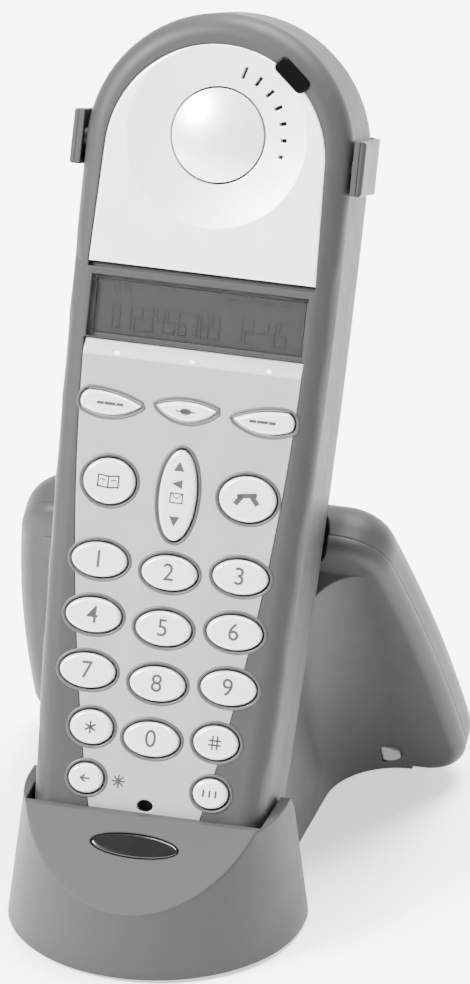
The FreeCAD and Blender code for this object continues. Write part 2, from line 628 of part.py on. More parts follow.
def bowl_solid(name, inset, high, low=0.0):
    """The cup of the base: round in front, straight at the sides, drafted upwards."""
    cup = body(name)
    drawn = sketch_on(cup, "XY", Size(number(low), repr(float(number(low)))))
    radius = cell("bowl_radius") - inset
    centre = cell("bowl_y")
    back = centre + cell("bowl_back") - inset
    corner = cell("bowl_corner") - inset
    loop(drawn, [(-radius, centre, radius), (radius, centre), (radius, back - corner, corner),
                 (radius - corner, back), (-radius + corner, back, corner), (-radius, back - corner)])
    pad(cup, drawn, high, draft=-cell("bowl_draft"))
    return cup


def slope_tool(name, drop):
    """Everything above the sloping front face, lowered by drop."""
    angle = math.radians(number(cell("slope")))
    foot_y = number(cell("bowl_y") + cell("slope_foot_y"))
    foot_z = number(cell("slope_foot_z")) - drop
    start = Vector(-60, foot_y - 30.0 * math.cos(angle), foot_z - 30.0 * math.sin(angle))
    end = start + Vector(0, 64.0 * math.cos(angle), 64.0 * math.sin(angle))
    wedge = doc.addObject("Part::Feature", name)
    wedge.Shape = Part.Face(Part.makePolygon([start, end, Vector(-60, start.y, end.z), start])).extrude(Vector(120, 0, 0))
    return wedge


def rim_tool(name, drop):
    """Everything above the bowl's rim where it falls away behind the handset, lowered by drop."""
    fall = math.radians(number(cell("rim_fall")))
    top = Vector(-60, number(cell("bowl_y") + cell("rim_back")), number(cell("bowl_high")) - drop)
    start = top + Vector(0, -10.0 * math.cos(fall), 10.0 * math.sin(fall))
    end = top + Vector(0, 40.0 * math.cos(fall), -40.0 * math.sin(fall))
    wedge = doc.addObject("Part::Feature", name)
    wedge.Shape = Part.Face(Part.makePolygon([start, end, Vector(-60, end.y, start.z), start])).extrude(Vector(120, 0, 0))
    return wedge


def valley_filler(name, side):
    """The hollow fillet between the spine's side and the wing, cut off where the handset's back passes."""
    radius, half = number(cell("valley_round")), number(cell("spine_half"))
    reach = half + radius
    middle = Vector(side * (reach - radius * math.sqrt(0.5)), -radius + radius * math.sqrt(0.5), 0)
    lines = [Part.LineSegment(Vector(side * a, b, 0), Vector(side * c, d, 0)) for a, b, c, d in
             ((half, -radius, half - 4, -radius), (half - 4, -radius, half - 4, 1), (half - 4, 1, reach, 1),
              (reach, 1, reach, 0))]
    curve = Part.Arc(Vector(side * reach, 0, 0), middle, Vector(side * half, -radius, 0))
    edges = [line.toShape() for line in lines] + [curve.toShape()]
    solid = Part.Face(Part.Wire(Part.__sortEdges__(edges))).extrude(Vector(0, 0, number(cell("wing_long")) - 6.0))
    filler = doc.addObject("Part::Feature", name)
    filler.Shape = solid
    filler.Placement = WING
    return cut(f"{name}_left", filler, seat_block(f"{name}_back", number(cell("play"))))


def spine_solid(name, inset, half, head_drop):
    """The hollow wedge between the handset's back and the wing."""
    lean, wing = math.radians(number(LEAN)), math.radians(number(cell("wing_lean")))
    seat = Vector(0, number(cell("seat_y")), number(cell("seat_z")))
    along, deep = Vector(0, math.sin(lean), math.cos(lean)), Vector(0, math.cos(lean), -math.sin(lean))
    rest = seat + deep * (number(THICK) + number(cell("play")) - 1.0 + inset)
    foot_y = number(cell("wing_foot_y")) + 1.2 / math.cos(wing)
    low = rest + along * ((1.0 - rest.z) / along.z)
    apex_reach = (foot_y - rest.y - rest.z * math.tan(wing)) / (along.y + along.z * math.tan(wing))
    apex = rest + along * (apex_reach - head_drop)
    crest = Vector(0, foot_y - apex.z * math.tan(wing), apex.z)
    face = Part.makePolygon([Vector(-half, p.y, p.z) for p in (Vector(0, low.y, -1.0), low, apex, crest,
                                                               Vector(0, foot_y + 0.6, -1.0), Vector(0, low.y, -1.0))])
    spine = doc.addObject("Part::Feature", name)
    spine.Shape = Part.Face(face).extrude(Vector(2 * half, 0, 0))
    return spine


def wing_outline(drawn, inset=0.0, foot=0.0):
    """The wing seen square on: bowed sides that narrow upwards."""
    top, low = cell("wing_top_half") - inset, cell("wing_foot_half") - inset
    head, start = cell("wing_long") - inset, Size(foot, repr(float(foot)))
    loop(drawn, [(low, start, cell("wing_side")), (top, head), (-top, head, cell("wing_side")), (-low, start)])


def handset_envelope(name, grow):
    """The handset's form grown by its play in the base, for cutting the seat and the notch."""
    form = casing_half(name, -grow, number(THICK) + 2 * grow, grow, cell("back_round"), number(THICK) + grow)
    doc.recompute()
    return settled(f"{name}_settled", form, HANDSET)


def seat_block(name, away):
    """Everything on the handset's side of the planes that lie the given distance under its foot and behind its back."""
    return stood(box(name, -80, -150, -away, 160, THICK + 150.0 + away, 300), HANDSET)


def wing_slab(name, inset, front, deep, foot, round_radius=0.0, rounded_at=None):
    slab = body(name)
    drawn = sketch_on(slab, "XZ", -float(front))
    wing_outline(drawn, inset, foot)
    block = pad(slab, drawn, deep, back=True)
    for corner, high in (("wing_corner", True), ("wing_foot_corner", False)):
        block = soften(slab, block, cell(corner) - inset * 0.5,
                       lambda e, up=high: e.BoundBox.YLength > number(deep) - 1e-3 and e.BoundBox.ZLength < 1e-3
                       and (e.BoundBox.ZMin > 40.0) == up and (up or e.BoundBox.ZMin < foot + 1e-3))
    if round_radius:
        soften(slab, block, round_radius,
               lambda e: abs(e.BoundBox.YMin - rounded_at) < 1e-3 and abs(e.BoundBox.YMax - rounded_at) < 1e-3
               and e.BoundBox.ZMax > foot + 1e-3)
    return settled(f"{name}_settled", slab, WING)


def settled(name, source, frame):
    """The finished form of a body, stood in the given frame."""
    copy = doc.addObject("Part::Feature", name)
    copy.Shape = source.Shape.copy()
    copy.Placement = frame
    return copy


def base_shells():
    cup = bowl_solid("cup_form", 0.0, cell("bowl_high"))
    thick = number(cell("wing_thick"))
    wing = wing_slab("wing_form", 0.0, 0.0, cell("wing_thick"), number(cell("wing_drop")), cell("wing_round"), 0.0)
    spine = spine_solid("spine_form", 0.0, number(cell("spine_half")), 4.0)
    sloped = cut("cup_sloped", cup, slope_tool("slope_cut", 0.0), rim_tool("rim_cut", 0.0))
    outer = fuse("base_outer", [sloped, spine, wing, valley_filler("valley_right", 1), valley_filler("valley_left", -1)])
    floor = box("under_floor", -80, -100, -20, 160, 200, cell("foot_gap") + 20)
    behind = box("behind_rear", -80, cell("rear_y") - 1.2, -20, 160, 60, 140)
    seat = handset_envelope("seat_form", number(cell("play")))
    trimmed = cut("base_trimmed", outer, floor, behind)
    wall = number(cell("base_wall"))
    cup_inner = bowl_solid("cup_inner", wall, cell("bowl_high") - wall)
    slope_wall = wall / math.cos(math.radians(number(cell("slope"))))
    inner = cut("cup_room", cup_inner, slope_tool("slope_inner", slope_wall))
    spine_inner = spine_solid("spine_room", wall + 0.4, number(cell("spine_half")) - wall, 9.0)
    rear_gap = box("rear_gap", -14.0, 20.0, -1.0, 28.0, 31.0, 44.0)
    through = common("through_room", rear_gap, wing_slab("through_slab", 6.0, -0.5, thick + 1.5, number(cell("wing_drop"))))
    room = fuse("base_room", [inner, spine_inner, through])
    room_left = cut("base_room_left", room, seat_block("seat_skin", number(cell("play")) + wall))
    return cut("base_shell", trimmed, seat, room_left)


def finish_base():
    shell = base_shells()
    slope = math.radians(number(cell("slope")))
    foot = Vector(0, number(cell("bowl_y") + cell("slope_foot_y")), number(cell("slope_foot_z")))
    up_slope, outward = Vector(0, math.cos(slope), math.sin(slope)), Vector(0, -math.sin(slope), math.cos(slope))
    page_at = foot + up_slope * 14.9
    face = Placement(page_at, Rotation(Vector(1, 0, 0), -(90 - number(cell("slope")))))
    hole = oval("page_hole", 0.0, 0.0, cell("page_long") + 0.2, cell("page_tall") + 0.2, -3.0, 5.3)
    hole.Placement = face
    lamps = [lamp(name, x, z, 0.06, -1.0, 8.0) for name, x, z in
             (("power_hole", POWER[0], POWER[1]), ("line_hole", LINE[0], LINE[1]))]
    contacts = []
    for side in (-1, 1):
        shaft = rod(f"plunger_hole_{side}", side * 8.0, SPLIT + 3.1, -7.0, 1.15, 8.0)
        contacts.append(stood(shaft, HANDSET))
    spaces = [box(f"jack_space_{side}", side * cell("jack_half_gap") - cell("jack_wide") / 2 - 0.1, 30.0, 2.7,
                  cell("jack_wide") + 0.2, 40.0, cell("jack_high") + 0.2) for side in (Size(-1.0, "-1"), Size(1.0, "1"))]
    node(cut("base_front", shell, hole, *lamps, *contacts, *spaces), "base_front_shell")

    key = oval("page_cap", 0.0, 0.0, cell("page_long"), cell("page_tall"), -0.25, 1.9)
    key = round_edges("page_cap_soft", key, 0.5, lambda e: e.BoundBox.YMax < 0)
    key.Placement = face
    node(key, "page_key")

    for name, spot, label in (("power_lamp", POWER, "power_light"), ("line_lamp", LINE, "line_light")):
        node(lamp(name, spot[0], spot[1], 0.0, -0.7, 3.6), label)

    for side, label in ((-1, "charge_plunger_left"), (1, "charge_plunger_right")):
        pin = rod(f"plunger_{side}", side * 8.0, SPLIT + 3.1, -4.0, 0.95, 3.95)
        node(round_edges(f"plunger_pin_{side}", pin, 0.5, lambda e: e.BoundBox.ZMin > -0.1), label, HANDSET)
    rear_parts()
    underside_parts()


POWER, LINE = (20.6, 44.5), (27.2, 6.6)


def lamp(name, x, z, grow, front, deep):
    """A flat-bottomed oval lens of an indicator light, in the wing's frame."""
    lens = oval(name, x, z, 3.4 + grow, 2.4 + grow, front, deep)
    lens.Placement = WING
    return lens


def rear_parts():
    thick, deep = number(cell("wing_thick")), number(cell("cover_deep"))
    inset, skin = number(cell("cover_inset")), number(cell("cover_wall"))
    drop = number(cell("wing_drop"))
    slab = wing_slab("cover_form", inset, thick + 0.05, deep, drop, cell("cover_round"), thick + 0.05 + deep)
    heel_reach = wing_slab("heel_form", 6.0, thick + 0.05, deep, drop - 8.0)
    heel = common("heel", heel_reach, box("heel_band", -33.0, 40.0, cell("foot_gap"), 66.0, 20.0, 6.0))
    shell = fuse("cover_with_heel", [slab, heel])
    room = wing_slab("cover_room", inset + skin, thick - 1.0, deep - skin + 1.0, drop + skin, cell("cover_round") - skin,
                     thick + deep - skin)
    floor = box("cover_floor", -80, -100, -20, 160, 200, cell("foot_gap") + 20)
    floor_room = box("cover_room_floor", -80, -100, -20, 160, 200, cell("foot_gap") + skin + 20)
    behind = box("cover_behind", -80, cell("rear_y"), -20, 160, 60, 140)
    behind_room = box("cover_room_behind", -80, cell("rear_y") - skin, -20, 160, 60, 140)
    seat = handset_envelope("cover_seat", number(cell("play")) + 0.2)
    seat_skin = seat_block("cover_seat_skin", number(cell("play")) + skin)
    hollow_room = cut("cover_hollow", room, floor_room, behind_room, seat_skin)
    jacks = []
    for side in (-1, 1):
        x = side * number(cell("jack_half_gap")) - number(cell("jack_wide")) / 2
        jacks.append(box(f"jack_window_{side}", x - 0.1, 20.0, 1.9 + 0.8, cell("jack_wide") + 0.2, 60.0,
                         cell("jack_high") + 0.2))
    vents = []
    for count in range(6):
        vent = box(f"vent_{count}", -11.0, thick, 52.0 + 3.0 * count - 9.0, 22.0, 30.0, 1.2)
        vents.append(stood(vent, WING))
    node(cut("rear_cover", shell, floor, behind, seat, hollow_room, *jacks, group("vents", vents)), "base_rear_cover")
    for side, label in ((-1, "line_jack"), (1, "power_jack")):
        x = side * number(cell("jack_half_gap"))
        block = box(f"jack_{side}", x - number(cell("jack_wide")) / 2, cell("rear_y") - cell("jack_deep") - 0.4, 2.8,
                    cell("jack_wide"), cell("jack_deep"), cell("jack_high"))
        mouth = box(f"jack_mouth_{side}", x - number(cell("plug_wide")) / 2, cell("rear_y") - cell("plug_deep") - 0.4, 4.9,
                    cell("plug_wide"), cell("plug_deep") + 5.0, cell("plug_high"))
        node(cut(f"jack_body_{side}", block, mouth), label)
    board = box("base_board_form", -30.0, thick + 3.4, 19.0, 60.0, 1.4, 24.0)
    node(board, "base_circuit_board", WING)
    aerials = []
    for side in (-1, 1):
        aerial = box(f"aerial_{side}", side * 24.0 - 4.0, thick + 5.0, 30.0, 8.0, 1.0, 12.0)
        aerials.append(aerial)
    node(group("aerials", aerials), "base_antennas", WING)


def underside_parts():
    wall = number(cell("base_wall"))
    cover = bowl_solid("bottom_form", wall + 0.15, 2.0, low=number(cell("foot_gap")) + 0.4)
    tail = box("bottom_tail", -cell("spine_half") + wall + 0.15, -14.0, cell("foot_gap") + 0.4,
               cell("spine_half") * 2 - 2 * wall - 0.3, 52.0, 2.0)
    node(cut("bottom", fuse("bottom_joined", [cover, tail]), *[
        rod(f"bottom_hole_{x}_{y}", x, y, -5.0, 1.5, 20.0) for x, y in BOTTOM_SCREWS]), "base_bottom_cover")
    node(group("bottom_screw_set", [
        fuse(f"bottom_screw_{x}_{y}", [rod(f"bottom_shank_{x}_{y}", x, y, 1.4, 1.2, 5.0),
                                       rod(f"bottom_head_{x}_{y}", x, y, 0.3, 1.45, 1.2)])
        for x, y in BOTTOM_SCREWS]), "base_screws")
    feet = [rod(f"foot_{x}_{y}", x, y, 0.0, 3.6, 1.19) for x, y in ((-15.0, -34.0), (15.0, -34.0))]
    feet += [box(f"foot_bar_{side}", side * 26.0 - 6.0, 48.3, 0.0, 12.0, 3.0, 0.79) for side in (-1, 1)]
    node(group("feet", feet), "rubber_feet")


BOTTOM_SCREWS = ((-13.5, 2.0), (13.5, 2.0), (-13.5, 33.0), (13.5, 33.0))


# ---------------------------------------------------------------- make, check and write

def main():
    handset_casing()
    handset_front_parts()
    handset_keys()
    handset_inner_parts()
    belt_clip()
    finish_base()
    doc.recompute()
    broken = [o.Name for o in doc.Objects if "Invalid" in o.State or "Error" in o.State]
    if broken:
        raise RuntimeError(f"failed objects: {broken}")
    os.makedirs("parts", exist_ok=True)
    for old in os.listdir("parts"):
        os.remove(os.path.join("parts", old))
    for thing in made:
        shape = thing.Shape
        if shape.isNull() or not shape.isValid() or not shape.Solids:
            raise RuntimeError(f"{thing.Label}: the shape is not a valid solid")
        shape.exportStep(f"parts/{thing.Label}.step")
    print(len(made), "sub-parts written")


main()
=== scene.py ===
"""Looks of a cordless handset in its desk base: materials, key legends, display figures and a studio."""
import json
import math
import bmesh
import bpy
from mathutils import Matrix, Vector


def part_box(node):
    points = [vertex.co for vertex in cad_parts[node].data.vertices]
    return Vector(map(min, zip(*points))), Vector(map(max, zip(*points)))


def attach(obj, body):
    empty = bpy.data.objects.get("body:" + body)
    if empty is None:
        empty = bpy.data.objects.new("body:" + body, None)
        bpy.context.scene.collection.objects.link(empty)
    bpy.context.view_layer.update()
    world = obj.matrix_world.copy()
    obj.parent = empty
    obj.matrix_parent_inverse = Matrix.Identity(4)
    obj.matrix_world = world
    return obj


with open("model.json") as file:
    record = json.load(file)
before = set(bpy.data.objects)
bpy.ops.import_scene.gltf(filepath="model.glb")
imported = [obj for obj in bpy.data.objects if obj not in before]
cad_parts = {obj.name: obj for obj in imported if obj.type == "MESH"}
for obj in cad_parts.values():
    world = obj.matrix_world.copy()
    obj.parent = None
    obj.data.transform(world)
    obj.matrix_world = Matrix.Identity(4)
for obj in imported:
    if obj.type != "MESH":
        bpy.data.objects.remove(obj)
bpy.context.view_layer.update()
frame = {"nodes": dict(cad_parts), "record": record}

MM = 0.001
PRINT_THICK, FIGURE_SIZE, FIGURE_THICK = 0.06, 4.7, 0.12   # of the printed marks, in millimetres
LIP_STEPS = 72                                             # points round a key's lip
LEAN = math.radians(23.5)
SEAT = Vector((0.0, -36.75, 16.2)) * MM          # the handset frame's origin, at the middle of its foot
SLOPE = math.radians(40.0)                        # the base's sloping front face

HANDSET = Matrix.Translation(SEAT) @ Matrix.Rotation(-LEAN, 4, "X")
DIGIT_KEYS = [f"key_{n}" for n in range(10)]
CAMERA_TURN, CAMERA_RISE = math.radians(15.5), math.radians(27.0)


# ---------------------------------------------------------------- materials

def node_tree(name):
    made = bpy.data.materials.new(name)
    made.use_nodes = True
    tree = made.node_tree
    tree.nodes.clear()
    shader = tree.nodes.new("ShaderNodeBsdfPrincipled")
    out = tree.nodes.new("ShaderNodeOutputMaterial")
    tree.links.new(shader.outputs["BSDF"], out.inputs["Surface"])
    return made, tree, shader


def surface(name, colour, rough, vary=0.06, grain=9000.0, bump=0.02, metal=0.0, coat=0.0, soft_edge=0.0003,
            flake=0.0, alpha=1.0, spec=0.5, stain=160.0):
    """Moulded or painted surface: faint mottling, fine grain in gloss and relief, and softened edges."""
    made, tree, shader = node_tree(name)
    place = tree.nodes.new("ShaderNodeTexCoord")
    cloud = tree.nodes.new("ShaderNodeTexNoise")
    cloud.inputs["Scale"].default_value = stain
    cloud.inputs["Detail"].default_value = 3.0
    fine = tree.nodes.new("ShaderNodeTexNoise")
    fine.inputs["Scale"].default_value = grain
    fine.inputs["Detail"].default_value = 2.0
    for texture in (cloud, fine):
        tree.links.new(place.outputs["Object"], texture.inputs["Vector"])
    tint = tree.nodes.new("ShaderNodeValToRGB")
    low, high = 1.0 - vary, 1.0 + vary
    tint.color_ramp.elements[0].position, tint.color_ramp.elements[1].position = 0.3, 0.7
    tint.color_ramp.elements[0].color = (*[min(1.0, c * low) for c in colour], 1.0)
    tint.color_ramp.elements[1].color = (*[min(1.0, c * high) for c in colour], 1.0)
    base = tint.outputs["Color"]
    if flake:
        sparkle = tree.nodes.new("ShaderNodeMix")
        sparkle.data_type = "RGBA"
        sparkle.blend_type = "MULTIPLY"
        sparkle.inputs["Factor"].default_value = flake
        tree.links.new(tint.outputs["Color"], sparkle.inputs["A"])
        spots = tree.nodes.new("ShaderNodeValToRGB")
        spots.color_ramp.elements[0].position, spots.color_ramp.elements[1].position = 0.35, 0.65
        spots.color_ramp.elements[0].color = (0.72, 0.72, 0.72, 1.0)
        tree.links.new(fine.outputs["Fac"], spots.inputs["Fac"])
        tree.links.new(spots.outputs["Color"], sparkle.inputs["B"])
        base = sparkle.outputs["Result"]
    tree.links.new(base, shader.inputs["Base Color"])
    gloss = tree.nodes.new("ShaderNodeMapRange")
    gloss.inputs["To Min"].default_value = max(0.02, rough - 0.06)
    gloss.inputs["To Max"].default_value = min(1.0, rough + 0.06)
    tree.links.new(cloud.outputs["Fac"], gloss.inputs["Value"])
    tree.links.new(gloss.outputs["Result"], shader.inputs["Roughness"])
    relief = tree.nodes.new("ShaderNodeBump")
    relief.inputs["Strength"].default_value = bump
    relief.inputs["Distance"].default_value = 0.0002
    tree.links.new(fine.outputs["Fac"], relief.inputs["Height"])
    if soft_edge:
        edge = tree.nodes.new("ShaderNodeBevel")
        edge.samples = 6
        edge.inputs["Radius"].default_value = soft_edge
        tree.links.new(edge.outputs["Normal"], relief.inputs["Normal"])
    tree.links.new(relief.outputs["Normal"], shader.inputs["Normal"])
    shader.inputs["Metallic"].default_value = metal
    shader.inputs["Coat Weight"].default_value = coat
    shader.inputs["Coat Roughness"].default_value = 0.12
    shader.inputs["Specular IOR Level"].default_value = spec
    shader.inputs["Alpha"].default_value = alpha
    return made


def grey(level):
    return (level, level * 1.005, level * 1.01)


MATERIALS = {
    "casing_grey": surface("casing_grey", grey(0.026), 0.5, bump=0.05, spec=0.2, soft_edge=0.0004),
    "clip_grey": surface("clip_grey", grey(0.006), 0.5, bump=0.05, soft_edge=0.0003),
    "clip_cap": surface("clip_cap", grey(0.02), 0.45, bump=0.04, spec=0.3),
    "silver_panel": surface("silver_panel", grey(0.85), 0.34, vary=0.02, metal=0.45, flake=0.25, coat=0.3),
    "keypad_silver": surface("keypad_silver", grey(0.3), 0.36, vary=0.03, metal=0.4, flake=0.3, coat=0.2),
    "key_silver": surface("key_silver", grey(0.56), 0.26, vary=0.02, metal=0.15, coat=0.6, soft_edge=0.0002),
    "smoked_window": surface("smoked_window", grey(0.002), 0.16, bump=0.0, spec=0.12),
    "display_window": surface("display_window", grey(0.1), 0.12, vary=0.01, bump=0.0, alpha=0.08, spec=0.2,
                              soft_edge=0),
    "display_glass": surface("display_glass", (0.013, 0.0145, 0.013), 0.5, spec=0.1, vary=0.03, soft_edge=0),
    "key_rubber": surface("key_rubber", grey(0.05), 0.7),
    "foot_rubber": surface("foot_rubber", grey(0.02), 0.75, bump=0.15),
    "circuit_board": surface("circuit_board", (0.02, 0.11, 0.045), 0.4),
    "antenna_metal": surface("antenna_metal", (0.72, 0.58, 0.32), 0.3, metal=1.0),
    "transducer_black": surface("transducer_black", grey(0.02), 0.5),
    "tinned_steel": surface("tinned_steel", grey(0.66), 0.3, metal=1.0),
    "battery_sleeve": surface("battery_sleeve", (0.03, 0.12, 0.06), 0.25, coat=0.4),
    "nickel_contact": surface("nickel_contact", (0.78, 0.76, 0.7), 0.18, metal=1.0),
    "zinc_screw": surface("zinc_screw", grey(0.6), 0.35, metal=1.0),
    "base_grey": surface("base_grey", grey(0.027), 0.5, bump=0.06, spec=0.2, soft_edge=0.0006),
    "base_underside": surface("base_underside", grey(0.05), 0.6, bump=0.1),
    "page_key_black": surface("page_key_black", grey(0.004), 0.16, coat=0.35, spec=0.3, soft_edge=0.0004),
    "jack_black": surface("jack_black", grey(0.02), 0.45),
    "light_lens": surface("light_lens", grey(0.18), 0.22, coat=0.8),
}
INK = surface("legend_ink", grey(0.012), 0.6, vary=0.1, soft_edge=0)
PALE_INK = surface("pale_ink", grey(0.85), 0.5, soft_edge=0)
# Dark lip round each key: a raised lip coloured as painted shade of the groove between key and panel.
GROOVE_SHADE = surface("key_bezel", grey(0.035), 0.4, bump=0.03, soft_edge=0.0001)
SEGMENT = surface("display_segments", (0.003, 0.0035, 0.003), 0.5, spec=0.1, soft_edge=0)

for entry in frame["record"]["subparts"]:
    cad_node = frame["nodes"][entry["node"]]
    for cad_slot in cad_node.material_slots:
        cad_slot.material = MATERIALS[entry["material_slot"]]


# ---------------------------------------------------------------- small flat pieces

def piece(name, mesh, material, body, place=Matrix()):
    """A finished mesh as an object that rides on a CAD body."""
    mesh.materials.clear()
    mesh.materials.append(material)
    made = bpy.data.objects.new(name, mesh)
    bpy.context.scene.collection.objects.link(made)
    made.data.transform(place)
    made.data.update()
    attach(made, body)
    return made


def in_handset(node):
    """A node's corners in the handset's frame, in metres."""
    back = HANDSET.inverted()
    return [back @ v.co for v in frame["nodes"][node].data.vertices]


def flat_polygons(name, outlines, thick):
    """Prisms with outlines in the X-Z plane, in millimetres, thick towards -Y."""
    mesh = bpy.data.meshes.new(name)
    work = bmesh.new()
    for outline in outlines:
        corners = [work.verts.new((x * MM, 0.0, z * MM)) for x, z in outline]
        face = work.faces.new(corners)
        grown = bmesh.ops.extrude_face_region(work, geom=[face])
        moved = [g for g in grown["geom"] if isinstance(g, bmesh.types.BMVert)]
        bmesh.ops.translate(work, verts=moved, vec=(0.0, -thick * MM, 0.0))
    bmesh.ops.recalc_face_normals(work, faces=work.faces)
    work.to_mesh(mesh)
    work.free()
    return mesh


def disc(x, z, wide, tall, count=32):
    return [(x + wide * math.cos(t), z + tall * math.sin(t))
            for t in (2 * math.pi * n / count for n in range(count))]


def bar(x0, z0, x1, z1, wide):
    """A straight stroke as a four-cornered outline."""
    run = Vector((x1 - x0, z1 - z0)).normalized() * wide / 2
    side = Vector((-run.y, run.x))
    return [(x0 - run.x + side.x, z0 - run.y + side.y), (x0 - run.x - side.x, z0 - run.y - side.y),
            (x1 + run.x - side.x, z1 + run.y - side.y), (x1 + run.x + side.x, z1 + run.y + side.y)]


def text_mesh(words, size, thick):
    """Letters standing in the X-Z plane, centred, facing -Y."""
    curve = bpy.data.curves.new("legend", "FONT")
    curve.body, curve.size, curve.extrude = words, size, thick / 2
    curve.align_x, curve.align_y = "CENTER", "CENTER"
    curve.offset = size * 0.004
    holder = bpy.data.objects.new("legend_source", curve)
    bpy.context.scene.collection.objects.link(holder)
    mesh = bpy.data.meshes.new_from_object(holder)
    bpy.data.objects.remove(holder)
    mesh.transform(Matrix.Rotation(math.radians(90), 4, "X"))
    return mesh


def on_handset(x, y, z):
    """Placement of a flat piece in the handset's frame, millimetres."""
    return HANDSET @ Matrix.Translation(Vector((x, y, z)) * MM)


# Signs on the keys: outlines in millimetres about each key's middle
PHONE_ICON = [bar(-1.9, -0.7, -1.3, 0.1, 1.0), bar(-1.5, 0.5, 1.5, 0.9, 0.85), bar(1.3, 0.2, 1.9, -0.5, 1.0)]
BOOK_ICON = [bar(-2.0, -1.1, -2.0, 1.1, 0.3), bar(2.0, -1.1, 2.0, 1.1, 0.3), bar(0.0, -1.2, 0.0, 0.9, 0.3),
             bar(-1.9, 1.15, -0.2, 0.95, 0.3), bar(0.2, 0.95, 1.9, 1.15, 0.3),
             bar(-1.9, -1.0, -0.2, -1.2, 0.3), bar(0.2, -1.2, 1.9, -1.0, 0.3),
             bar(-1.5, 0.3, -0.6, 0.2, 0.22), bar(0.6, 0.2, 1.5, 0.3, 0.22)]
STAR_ICON = [bar(-1.0 * math.cos(t), -1.0 * math.sin(t), math.cos(t), math.sin(t), 0.38)
             for t in (math.radians(a) for a in (30, 90, 150))]
HASH_ICON = [bar(-0.45, -1.2, -0.45, 1.2, 0.34), bar(0.45, -1.2, 0.45, 1.2, 0.34),
             bar(-1.1, -0.42, 1.1, -0.42, 0.34), bar(-1.1, 0.42, 1.1, 0.42, 0.34)]
NAVIGATE_ICON = [[(-1.05, 4.6), (1.05, 4.6), (0.0, 6.5)], [(-1.2, 2.2), (0.9, 1.3), (0.9, 3.1)],
                 [(-1.05, -4.0), (0.0, -5.9), (1.05, -4.0)],
                 bar(-1.2, 0.4, 1.2, 0.4, 0.25), bar(-1.2, -1.4, 1.2, -1.4, 0.25),
                 bar(-1.2, -1.3, -1.2, 0.3, 0.25), bar(1.2, -1.3, 1.2, 0.3, 0.25),
                 bar(-1.1, 0.3, 0.0, -0.6, 0.2), bar(0.0, -0.6, 1.1, 0.3, 0.2)]
SOFT_ICON = [bar(-2.3, 0.0, -1.5, 0.0, 0.55), bar(-0.8, 0.0, 0.8, 0.0, 0.55), bar(1.5, 0.0, 2.3, 0.0, 0.55)]
DOT_ICON = [disc(0, 0, 1.1, 0.6), bar(-1.8, 0.0, 1.8, 0.0, 0.25)]
RECALL_ICON = [bar(-0.8, 0.0, 0.8, 0.0, 0.35), bar(-0.8, 0.0, -0.1, 0.6, 0.35),
               bar(-0.8, 0.0, -0.1, -0.6, 0.35)]
INTERCOM_ICON = [bar(x, -0.5, x, 0.5, 0.4) for x in (-1.2, 0.0, 1.2)]
ICONS = {"key_star": STAR_ICON, "key_hash": HASH_ICON, "key_recall": RECALL_ICON,
         "key_intercom": INTERCOM_ICON, "key_phonebook": BOOK_ICON, "key_talk": PHONE_ICON,
         "key_navigate": NAVIGATE_ICON, "key_soft_left": SOFT_ICON, "key_soft_middle": DOT_ICON,
         "key_soft_right": SOFT_ICON}


def convex_outline(points):
    """The convex outline of (x, z) points, anticlockwise."""
    points = sorted(set(points))

    def half(run):
        chain = []
        for p in run:
            while len(chain) > 1 and ((chain[-1][0] - chain[-2][0]) * (p[1] - chain[-2][1])
                                      - (chain[-1][1] - chain[-2][1]) * (p[0] - chain[-2][0])) <= 0:
                chain.pop()
            chain.append(p)
        return chain[:-1]

    return half(points) + half(points[::-1])


def resampled(outline, count):
    """The outline as evenly spaced points."""
    closed = [Vector(p) for p in outline] + [Vector(outline[0])]
    spans = [(b - a).length for a, b in zip(closed, closed[1:])]
    step, walked, index, out = sum(spans) / count, 0.0, 0, []
    for n in range(count):
        while index < len(spans) - 1 and walked + spans[index] < n * step:
            walked += spans[index]
            index += 1
        share = (n * step - walked) / spans[index]
        out.append(closed[index].lerp(closed[index + 1], share))
    return out


def groove_shade_ring(name, key):
    """A raised lip round a key's hole, coloured dark as painted shade of the groove between key and panel.
    """
    cap = [(p.x, p.z) for p in in_handset(key) if p.y < 1.0 * MM]
    line = resampled(convex_outline(cap), LIP_STEPS)
    # Across the lip: millimetres out from the cap and into the face
    profile = [(0.30, 0.55), (0.36, -0.10), (0.55, -0.26), (0.80, -0.24), (0.98, -0.08), (1.02, 0.30)]
    mesh = bpy.data.meshes.new(name)
    work = bmesh.new()
    rows = []
    for n, at in enumerate(line):
        tangent = (line[(n + 1) % LIP_STEPS] - line[n - 1]).normalized()
        out = Vector((tangent.y, -tangent.x))
        rows.append([work.verts.new((at.x + out.x * w * MM, d * MM, at.y + out.y * w * MM))
                     for w, d in profile])
    for a, b in zip(rows, rows[1:] + rows[:1]):
        for k in range(len(profile)):
            j = (k + 1) % len(profile)
            work.faces.new((a[k], a[j], b[j], b[k]))
    bmesh.ops.recalc_face_normals(work, faces=work.faces)
    work.to_mesh(mesh)
    work.free()
    for face in mesh.polygons:
        face.use_smooth = True
    piece(name, mesh, GROOVE_SHADE, "handset", HANDSET)


def dress_keys():
    for key in DIGIT_KEYS + list(ICONS):
        cap = in_handset(key)
        front = min(p.y for p in cap)
        face = [p for p in cap if p.y < front + 0.9 * MM]
        x = (min(p.x for p in face) + max(p.x for p in face)) / 2
        z = (min(p.z for p in face) + max(p.z for p in face)) / 2
        place = HANDSET @ Matrix.Translation((x, front + 0.02 * MM, z))
        if key in DIGIT_KEYS:
            mesh = text_mesh(key[-1], FIGURE_SIZE * MM, FIGURE_THICK * MM)
        else:
            mesh = flat_polygons(f"{key}_legend", ICONS[key], PRINT_THICK)
        piece(f"{key}_legend", mesh, INK, key, place)
        groove_shade_ring(f"{key}_bezel", key)


